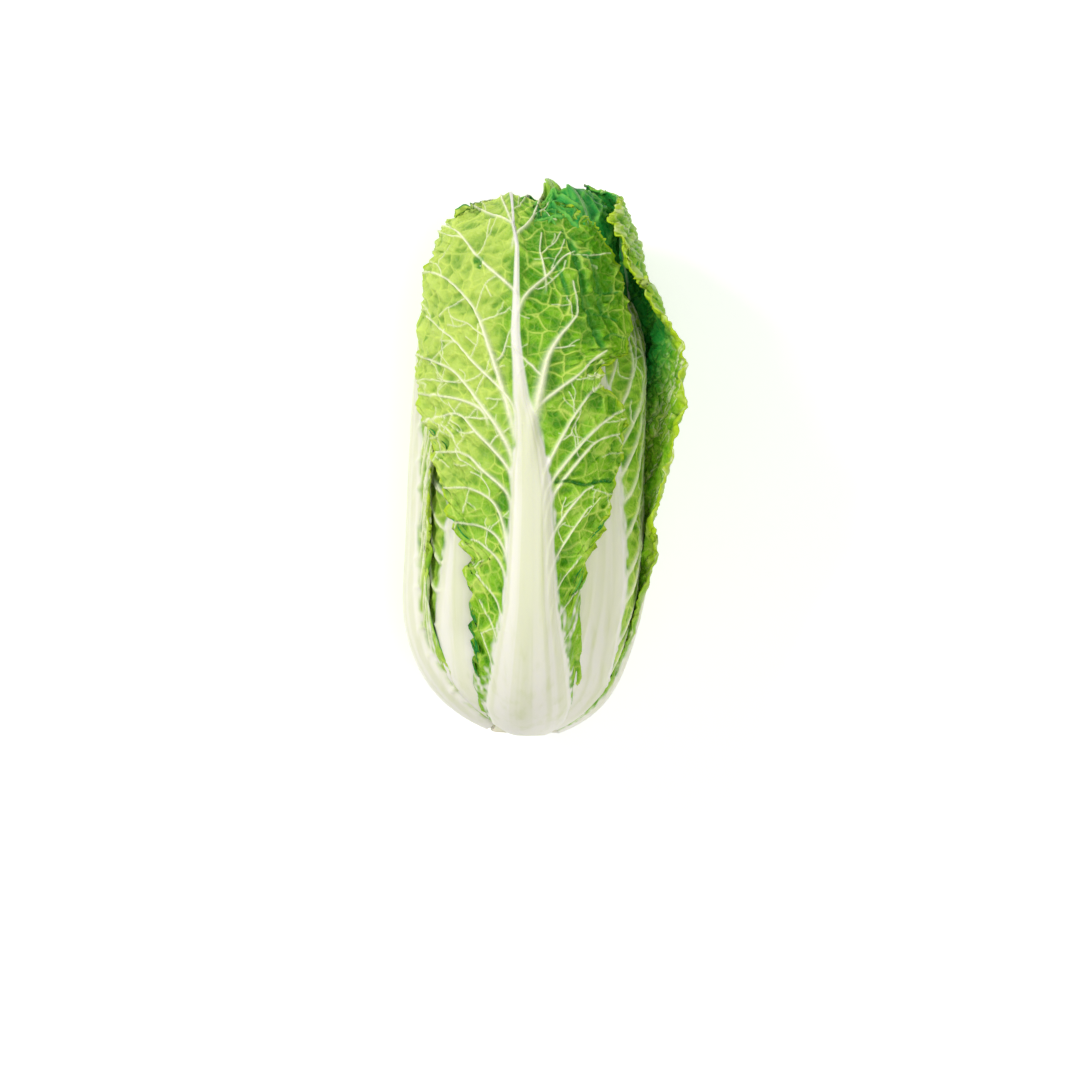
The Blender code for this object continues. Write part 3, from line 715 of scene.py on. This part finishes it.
def nearVeins(points, veins):
    # how much each point is on a vein, how high the vein stands there, and how near the point is to one
    mask, ridge, beside = np.zeros(len(points)), np.zeros(len(points)), np.zeros(len(points))
    for path, widths, heights in veins:
        reach = 3 * widths.max() + 0.0025
        near = np.all((points > path.min(axis=0) - reach) & (points < path.max(axis=0) + reach), axis=1)
        if not near.any():
            continue
        picked = points[near][:, None, :]
        first, run = path[None, :-1], (path[1:] - path[:-1])[None]
        place = np.clip(((picked - first) * run).sum(-1) / np.maximum((run**2).sum(-1), 1e-12), 0, 1)
        gap = np.linalg.norm(picked - first - run * place[..., None], axis=-1)
        width = widths[:-1] + (widths[1:] - widths[:-1]) * place
        height = heights[:-1] + (heights[1:] - heights[:-1]) * place
        best = np.argmin(gap / width, axis=1)
        row = np.arange(len(best))
        share, tall = gap[row, best] / width[row, best], height[row, best]
        mask[near] = np.maximum(mask[near], np.exp(-(share**2) * 1.1) * np.minimum(1, tall / 0.0003))
        ridge[near] = np.maximum(ridge[near], tall * np.exp(-(share**2) * 1.3))
        beside[near] = np.maximum(beside[near], np.exp(-gap[row, best] / 0.0016))
    return mask, ridge, beside


def gridNormals(points, outwards):
    # which way the sheet faces at each grid point
    along, across = np.gradient(points, axis=0), np.gradient(points, axis=1)
    normal = np.cross(along, across)
    normal /= np.maximum(np.linalg.norm(normal, axis=-1, keepdims=True), 1e-12)
    flip = (normal * outwards).sum() < 0
    return (-normal if flip else normal), flip


def edgeLoop(ids):
    # a grid's corners round its edge, in order
    return np.concatenate([ids[0, :-1], ids[:-1, -1], ids[-1, :0:-1], ids[:0:-1, 0]])


def closedSheet(name, fine, behind, flip):
    # one closed mesh from a fine face and a face of half as many cells behind it, joined round the edge
    fineId = np.arange(fine[..., 0].size).reshape(fine.shape[:2])
    backId = np.arange(behind[..., 0].size).reshape(behind.shape[:2]) + fineId.size
    quads = np.stack([fineId[:-1, :-1], fineId[:-1, 1:], fineId[1:, 1:], fineId[1:, :-1]], -1).reshape(-1, 4)
    back = np.stack([backId[:-1, :-1], backId[1:, :-1], backId[1:, 1:], backId[:-1, 1:]], -1).reshape(-1, 4)
    edge, backStart = edgeLoop(fineId), edgeLoop(backId)
    start, middle, end, backEnd = edge[::2], edge[1::2], np.roll(edge, -2)[::2], np.roll(backStart, -1)
    corners = (middle, start, backStart), (end, middle, backEnd), (middle, backStart, backEnd)
    walls = np.concatenate([np.stack(three, -1) for three in corners])
    faces = [face[:, ::-1] if flip else face for face in (quads, back, walls)]
    points = np.concatenate([fine.reshape(-1, 3), behind.reshape(-1, 3)])
    mesh = bpy.data.meshes.new(name)
    mesh.from_pydata(points.tolist(), [], [f for face in faces for f in face.tolist()])
    mesh.shade_smooth()
    return mesh


def addMarks(mesh, **marks):
    for key, values in marks.items():
        made = mesh.attributes.new(key, "FLOAT", "POINT")
        made.data.foreach_set("value", np.clip(values, 0, 1).astype(np.float32))


def linked(name, mesh, material):
    mesh.materials.append(material)
    obj = bpy.data.objects.new(name, mesh)
    bpy.context.scene.collection.objects.link(obj)
    return obj


# Two nets of veinlets, and the tilted pillows between them: how far they sink or rise, in metres.
nets = dict(
    big=dict(size=0.0105, low=-0.00056, high=0.00007, steep=0.09, edge=0.0030, line=0.00040, seed="net"),
    small=dict(size=0.0046, low=-0.00018, high=0.00012, steep=0.07, edge=0.0012, line=0.00035, seed="crumple"),
)
# The rest of a blade's relief: how the nets wander, ripples across the side veins, sags between them, and rolls.
skin = dict(
    wander=0.0022, wanderSize=0.006, ripple=0.0014, rippleWide=0.0030, rippleLong=0.0090, sag=0.0017,
    sagSize=0.008, roll=0.0034, rollSize=0.019, netPatch=0.013, rimPatch=0.012, veinRise=1.15, netRise=0.00045,
    smallNetRise=0.00016, foldWidth=0.0013, foldDepth=0.0017, insideRelief=0.35, ribSoft=0.0016, streak=0.0035,
    streakSize=0.0016, leafLength=0.30, aboveCut=0.0012, pressed=0.0006,
)


def pillows(points, net):
    # how much each point is on the net, and the pillows' height there
    wall, tone, offset = cellNet(points, net["size"], seeds[net["seed"]])
    tilt = np.stack([np.cos(tone * 40), np.sin(tone * 31), np.sin(tone * 57)], -1)
    height = net["low"] + (net["high"] - net["low"]) * tone + net["steep"] * (offset * tilt).sum(-1)
    return np.exp(-((wall / net["line"]) ** 2)), height * smooth(0, net["edge"], wall)


def leafGrid(leaf):
    # the share along and the place across of each corner of the fine face, with lines on the rib's two edges
    rows, half = leaf["grid"]
    half += half % 2
    ribCells = max(2, int(half * 0.16) // 2 * 2)
    lines = np.concatenate([np.linspace(0, 1, ribCells + 1), 1 + np.linspace(0, 1, half - ribCells + 1)[1:]])
    return np.meshgrid(np.linspace(0, 1, 2 * rows + 1), np.concatenate([-lines[:0:-1], lines]), indexing="ij")


def makeLeaf(name, leaf, material):
    share, across = leafGrid(leaf)
    shape, middle = share.shape, share.shape[1] // 2
    base, thickness, fromRib, toMargin, laid = leafSheet(leaf, share, across)
    flat = laid.reshape(-1, 3)
    axisAcross = home[0] + bendShift(base[..., 1] - home[1])
    azimuths = np.degrees(np.arctan2(laid[..., 0] - axisAcross, laid[..., 2] - home[2]))
    heights = laid[..., 1] - home[1]
    outwards = np.zeros_like(base)
    outwards[:, middle, 0] = base[:, middle, 0] - axisAcross[:, middle]
    outwards[:, middle, 2] = base[:, middle, 2] - home[2]
    normal, flip = gridNormals(base, outwards)

    def patchy(size, seed):
        return softNoise(flat, size, seed).reshape(shape)

    def spot(azimuth, height, wide, tall):
        return np.exp(-(((azimuths - azimuth) / wide) ** 2) - ((heights - height) / tall) ** 2)

    isFront = name == "leaf_front"
    veins = frontLeafVeins(leaf) if isFront else sideVeins(leaf, name)
    folds = frontLeafCreases(leaf) if isFront else tipFolds(leaf)
    mask, ridge, beside = (values.reshape(shape) for values in nearVeins(flat, veins))
    crease, dent, _ = (values.reshape(shape) for values in nearVeins(flat, folds))
    drift = np.stack([softNoise(flat, skin["wanderSize"], seeds["wander"] + k) for k in range(3)], -1) - 0.5
    wandered = flat + skin["wander"] * drift
    net, blisters = (values.reshape(shape) for values in pillows(wandered, nets["big"]))
    smallNet, smallBlisters = (values.reshape(shape) for values in pillows(wandered, nets["small"]))

    inBlade = smooth(0.0, 0.004, fromRib)
    crumpled = spot(*leaf["crumpled"])
    netShown = smooth(0.30, 0.62, patchy(skin["netPatch"], seeds["net"] + 8))
    net = net * inBlade * (0.55 + 0.45 * netShown) * (1 - 0.8 * crumpled)
    smallNet = smallNet * inBlade * (1 - 0.8 * crumpled)
    rolling = patchy(skin["rollSize"], seeds["crumple"] + 7) - 0.5
    # ripples cross the side veins, which climb away from the rib
    up = share * skin["leafLength"]
    rising, falling = (fromRib + up) / skin["rippleWide"], (fromRib - up) / skin["rippleLong"]
    crossed = np.stack([rising, falling, 0 * share + leaf["layer"]], -1).reshape(-1, 3) + 0.5 * drift
    ripple = softNoise(crossed, 1.0, seeds["crumple"] + 5).reshape(shape) - 0.5
    sag = -skin["sag"] * (1 - beside) * (0.35 + patchy(skin["sagSize"], seeds["crumple"] + 6))
    detail = (blisters + skin["ripple"] * ripple + smallBlisters * leaf["grain"]) * (1 + 1.4 * crumpled)
    puff = (detail + sag + skin["roll"] * rolling * (1 + 0.8 * crumpled)) * inBlade * leaf["puff"]
    puff = puff * (1 - 0.8 * np.clip(ridge / 0.001, 0, 1))
    puff = puff * (1 + (leaf["tipPuff"] - 1) * smooth(0.7, 0.85, share)) - dent

    ribWide = -fromRib[:, [middle]]
    grooves = lineNoise(across + 0.04 * share, 0.13, seeds["grooves"])
    grooves = grooves + 0.5 * lineNoise(across, 0.05, seeds["grooves"] + 1)
    spine = smooth(0.75, 0.2, np.abs(across)) * smooth(0.12, 0.3, share)
    band = (smooth(0.62, 1.0, grooves) * 0.8 + 0.9 * spine) * smooth(0.002, 0.007, ribWide)
    grooves = leaf["groove"] * (grooves - 0.75) * (1 - inBlade) * smooth(0.02, 0.15, share)
    grooves = grooves * smooth(0.002, 0.009, ribWide)
    netRise = skin["netRise"] * net + skin["smallNetRise"] * smallNet
    relief = ridge * skin["veinRise"] + netRise * (1 - mask) + grooves

    outer = base + normal * (thickness + puff + relief)[..., None]
    inner = base + normal * (puff - skin["insideRelief"] * relief * inBlade)[..., None]
    outer[..., 1] = np.maximum(outer[..., 1], home[1] + skin["aboveCut"])
    if name == "leaf_underside":
        outer[..., 2] = np.maximum(outer[..., 2], 0.0)
        inner[..., 2] = np.maximum(inner[..., 2], skin["pressed"])
    fineInside = leaf["fineInside"]
    if fineInside:
        mesh = closedSheet(name, inner, outer[::2, ::2], not flip)
    else:
        mesh = closedSheet(name, outer, inner[::2, ::2], flip)

    def both(values, behind=1.0):
        # a value for each corner of the fine face, then of the face behind it
        return np.concatenate([values.ravel(), behind * values[::2, ::2].ravel()])

    behind = 0.45 if fineInside else 1.0
    # where the outside takes the inside's green: on tips, which on the right middle leaf is painted shade, and as
    # painted shade in the front leaf's folds
    darkTip = np.maximum(smooth(*leaf["darkTip"], share), leaf["foldShade"] * crease * inBlade)
    inside = both(darkTip, 0.0)
    if not fineInside:
        inside[share.size:] = 1.0
    streak = softNoise(flat * np.array([1, 0.35, 1]), skin["streakSize"], seeds["wander"] + 9)
    streak = skin["streak"] * (streak.reshape(shape) - 0.5)
    soft = np.minimum(skin["ribSoft"], 0.3 * ribWide)
    ribMask = 1 - smooth(0, 1, (fromRib + streak * smooth(0.003, 0.010, ribWide) + 0.7 * soft) / (1.7 * soft))
    ribMask = ribMask * (1 - 0.85 * smooth(0.75, 0.85, share) * darkTip)
    nearRim = leaf["rimWidth"] * (0.4 + 1.2 * patchy(skin["rimPatch"], seeds["rim"]))
    nearRim = (1 - smooth(0.0, nearRim, toMargin)) * smooth(0.12, 0.3, share)
    # painted shade: darker in the hollows of the relief, in the folds, away from the veins, where rolls sink, and
    # in each leaf's listed shade places
    hollow = 0.36 - detail / 0.0021 + crease * 0.9 + 0.2 * (1 - beside) * (1 - netShown) - 0.35 * rolling
    for *place, depth in leaf["shades"]:
        hollow = hollow + depth * spot(*place)
    # the leaf's own paler tone, with painted light making the front leaf's upper left paler
    pale = leaf["pale"] + leaf["paintedLightLeft"] * (1 - smooth(-38, 6, azimuths)) * smooth(0.06, 0.21, heights)
    addMarks(
        mesh, rib=both(ribMask), vein=both(mask * (0.75 + 0.25 * inBlade), behind),
        net=both(np.maximum(net, 0.2 * smallNet), behind), hollow=both(hollow), rim=both(nearRim),
        inside=inside, pale=both(pale), band=both(band * smooth(0.0, 0.08, share)),
    )
    obj = linked(f"{name}_blade", mesh, material)
    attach(obj, "root")
    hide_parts(name)
    print(name, "faces:", len(mesh.polygons))


print("leaves")
outerPaint = leafPaint("wrapperLeaf", leafLook)
innerPaint = leafPaint("innerLeaf", leafLook | dict(
    blade=tint(206, 218, 130), bladeShade=tint(176, 200, 96), bladePaleAndLit=tint(222, 228, 158),
    crestHighlight=tint(228, 232, 176), rim=tint(210, 218, 140), inside=tint(150, 200, 60),
    insideDeepAndShade=tint(120, 184, 44), insideVeinAndHighlight=tint(210, 226, 120),
))
for leafName, leafPlan in leaves.items():
    leafPlan = usualLeaf | leafPlan
    makeLeaf(leafName, leafPlan, innerPaint if leafPlan["slot"] == "inner_leaf" else outerPaint)


def roundMesh(name, rings, ends):
    # a closed mesh from rings of points, with one point in the middle of each end
    count, columns = rings.shape[:2]
    ids = np.arange(count * columns).reshape(count, columns)
    after = np.roll(ids, -1, axis=1)
    faces = np.stack([ids[:-1], ids[1:], after[1:], after[:-1]], -1).reshape(-1, 4).tolist()
    faces += [[ids.size, int(a), int(b)] for a, b in zip(ids[0], after[0])]
    faces += [[ids.size + 1, int(b), int(a)] for a, b in zip(ids[-1], after[-1])]
    corners = np.vstack([rings.reshape(-1, 3)] + [end.mean(axis=0) for end in ends])
    mesh = bpy.data.meshes.new(name)
    mesh.from_pydata(corners.tolist(), [], faces)
    mesh.shade_smooth()
    return mesh


# The heart is one bud of packed leaves: edges of leaves wind up it, with a step at each.
heartPlan = dict(
    columns=220, rows=200, edges=5, twist=1.6, step=0.0028, cell=0.006, crinkle=0.0012, net=0.0006,
)


def makeHeart():
    shell = Shell(head["heartInset"])
    share = np.linspace(0, 1, heartPlan["rows"] + 1)[:, None]
    azimuth = np.linspace(0, math.tau, heartPlan["columns"], endpoint=False)[None]
    radius, height = shell.at(share * shell.arc[-1])
    edge = (heartPlan["edges"] * azimuth / math.tau + heartPlan["twist"] * share) % 1.0
    fade = smooth(0.04, 0.25, share) * (1 - smooth(0.93, 1.0, share))
    radius = radius + heartPlan["step"] * (edge - 1) * fade
    around = 0 * azimuth
    points = bent(radius, azimuth, height + around)
    wall, tone, _ = cellNet(points.reshape(-1, 3), heartPlan["cell"], seeds["heart"])
    crinkle = (heartPlan["crinkle"] * (tone - 0.6) * smooth(0, 0.002, wall)).reshape(points.shape[:2])
    out = np.stack([np.sin(azimuth) + 0 * share, 0 * share + around, np.cos(azimuth) + 0 * share], -1)
    points = points + out * (crinkle * fade)[..., None]
    mesh = roundMesh("heart", points[1:-1], (points[0], points[-1]))

    def marked(values):
        # the poles have none
        return np.append(values[1:-1].ravel(), [0, 0])

    net = marked(np.exp(-((wall / heartPlan["net"]) ** 2)).reshape(points.shape[:2]))
    rim = marked(smooth(0.86, 1.0, edge) * fade)
    none = np.zeros(len(mesh.vertices))
    # an even touch of painted shade over the heart
    addMarks(mesh, rib=none, vein=none, net=net, hollow=none + 0.4, rim=rim, inside=none, pale=none + 0.5)
    obj = linked("heart_bud", mesh, heartPaint)
    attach(obj, "root")
    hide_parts("heart")


def stumpPaint():
    paint = Paint("cutStem")
    ring, bark = paint.mark("ring"), paint.mark("bark")
    speckle = paint.noise(900.0, 3.0)
    patches = paint.noise(120.0, 3.0)
    colour = paint.blend(paint.ease(patches, 0.35, 0.7), tint(236, 230, 206), tint(222, 214, 178))
    colour = paint.blend(ring * 0.6, colour, tint(196, 190, 132))
    colour = paint.blend(paint.ease(speckle, 0.55, 0.8) * 0.5, colour, tint(188, 166, 120))
    colour = paint.blend(bark * 0.7, colour, tint(226, 224, 200))
    normal = paint.bump(speckle + ring * 0.8, 0.5, 0.0006)
    gloss = 0.62 + 0.2 * (speckle - 0.5)
    return paint.finish(colour, gloss, normal, Subsurface_Weight=0.1, Subsurface_Scale=0.002)


stumpPlan = dict(
    sides=180, rings=26, swell=0.0005, vesselRing=0.0115, ringWidth=0.0011, topHeight=0.030, pith=0.0006,
)


def makeStump():
    # the cut face has a raised ring of vessels and a slightly sunk pith
    sides, radiusOut = stumpPlan["sides"], head["stumpRadius"] + stumpPlan["swell"]
    azimuth = np.linspace(0, math.tau, sides, endpoint=False)[None]
    faceRadius = np.linspace(0.0004, radiusOut - head["stumpEdge"], stumpPlan["rings"])
    edgeTurn = np.linspace(0, math.pi / 2, 6)[1:]
    edgeRadius = radiusOut - head["stumpEdge"] * (1 - np.sin(edgeTurn))
    edgeHeight = head["stumpCut"] + head["stumpEdge"] * (1 - np.cos(edgeTurn))
    seat = Shell(head["heartInset"])
    topRadius = np.linspace(radiusOut, 0.0004, 10)
    topHeight = np.array([float(seat.at(seat.arcFromStump(r))[1]) - 2 * head["gap"] for r in topRadius])
    wallHeight = np.linspace(edgeHeight[-1], stumpPlan["topHeight"], 14)[1:-1]
    radius = np.concatenate([faceRadius, edgeRadius, np.full(len(wallHeight), radiusOut), topRadius])
    height = np.concatenate([np.full(len(faceRadius), head["stumpCut"]), edgeHeight, wallHeight, topHeight])
    radius, height = radius[:, None] + 0 * azimuth, height[:, None] + 0 * azimuth
    wobble = 1 - 0.008 * lineNoise(azimuth * radiusOut, 0.006, seeds["stump"])
    radius = radius * (1 - (1 - wobble) * smooth(0.006, radiusOut, radius))
    onFace = (np.arange(len(radius)) < len(faceRadius) + 2)[:, None]
    ringMask = np.exp(-(((radius - stumpPlan["vesselRing"]) / stumpPlan["ringWidth"]) ** 2))
    bundles = 0.5 + 0.5 * np.cos(azimuth * 26 + 3 * lineNoise(azimuth, 0.7, seeds["stump"] + 1))
    grain = lineNoise(radius, 0.0013, seeds["stump"] + 2) - 0.5
    dip = stumpPlan["pith"] * (1 - smooth(0.002, 0.011, radius)) - 0.0005 * ringMask * bundles + 0.0002 * grain
    height = height + dip * onFace
    points = bent(radius, azimuth, height)
    mesh = roundMesh("stump", points, (points[0], points[-1]))
    rings = np.append((ringMask * bundles * onFace).ravel(), [0, 0])
    bark = np.append((1.0 - onFace + 0 * radius).ravel(), [0, 1])
    addMarks(mesh, ring=rings, bark=bark)
    obj = linked("stump_cut", mesh, stumpPaint())
    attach(obj, "root")
    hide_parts("stump")


print("heart and stump")
heartPaint = leafPaint("heartLeaf", leafLook | dict(
    blade=tint(240, 236, 140), bladeShade=tint(216, 222, 104), bladePaleAndLit=tint(246, 242, 170),
    rim=tint(248, 246, 196), net=tint(238, 236, 176), crestHighlight=tint(240, 236, 180),
))
makeHeart()
makeStump()


floorPlan = dict(size=6.0, drop=0.0002, colour=(0.95, 0.95, 0.95, 1.0), glow=0.30)
lampPlan = dict(
    key=dict(place=(-1.25, 0.8, 1.25), size=0.5, power=18.0),
    fill=dict(place=(0.6, -0.2, 1.9), size=1.2, power=16.0),
    skyStrength=0.38,
)


def makeFloor():
    half = floorPlan["size"] / 2
    mesh = bpy.data.meshes.new("floor")
    around = (-half, -half), (half, -half), (half, half), (-half, half)
    corners = [(x, y, -floorPlan["drop"]) for x, y in around]
    mesh.from_pydata(corners, [], [(0, 1, 2, 3)])
    paint = Paint("floor")
    paint.feed(paint.shader.inputs["Base Color"], floorPlan["colour"])
    paint.feed(paint.shader.inputs["Roughness"], 0.9)
    paint.feed(paint.shader.inputs["Emission Color"], (1.0, 1.0, 1.0, 1.0))
    paint.feed(paint.shader.inputs["Emission Strength"], floorPlan["glow"])
    linked("floor", mesh, paint.material)


def makeLamp(name, plan, target):
    lamp = bpy.data.lights.new(name, "AREA")
    lamp.energy = plan["power"]
    lamp.size = plan["size"]
    obj = bpy.data.objects.new(name, lamp)
    bpy.context.scene.collection.objects.link(obj)
    obj.location = plan["place"]
    aim = np.array(target) - np.array(plan["place"])
    obj.rotation_mode = "QUATERNION"
    obj.rotation_quaternion = Vector(aim).to_track_quat("-Z", "Y")


def makeSky():
    world = bpy.data.worlds.new("sky")
    bpy.context.scene.world = world
    world.use_nodes = True
    background = world.node_tree.nodes["Background"]
    background.inputs["Color"].default_value = (1, 1, 1, 1)
    background.inputs["Strength"].default_value = lampPlan["skyStrength"]


def makeCamera():
    camera = bpy.data.cameras.new("camera")
    camera.sensor_width = shot["sensor"]
    camera.lens = shot["sensor"] * shot["distance"] / shot["width"]
    obj = bpy.data.objects.new("camera", camera)
    bpy.context.scene.collection.objects.link(obj)
    obj.location = (home[0] + shot["aimAcross"], home[1] + shot["aimAlong"], home[2] + shot["distance"])
    obj.rotation_euler = (0, 0, 0)
    bpy.context.scene.camera = obj


print("floor, lamps and camera")
makeFloor()
middleOfHead = (0.0, 0.0, home[2])
makeLamp("key", lampPlan["key"], middleOfHead)
makeLamp("fill", lampPlan["fill"], middleOfHead)
makeSky()
makeCamera()
bpy.context.scene.view_settings.view_transform = "Standard"
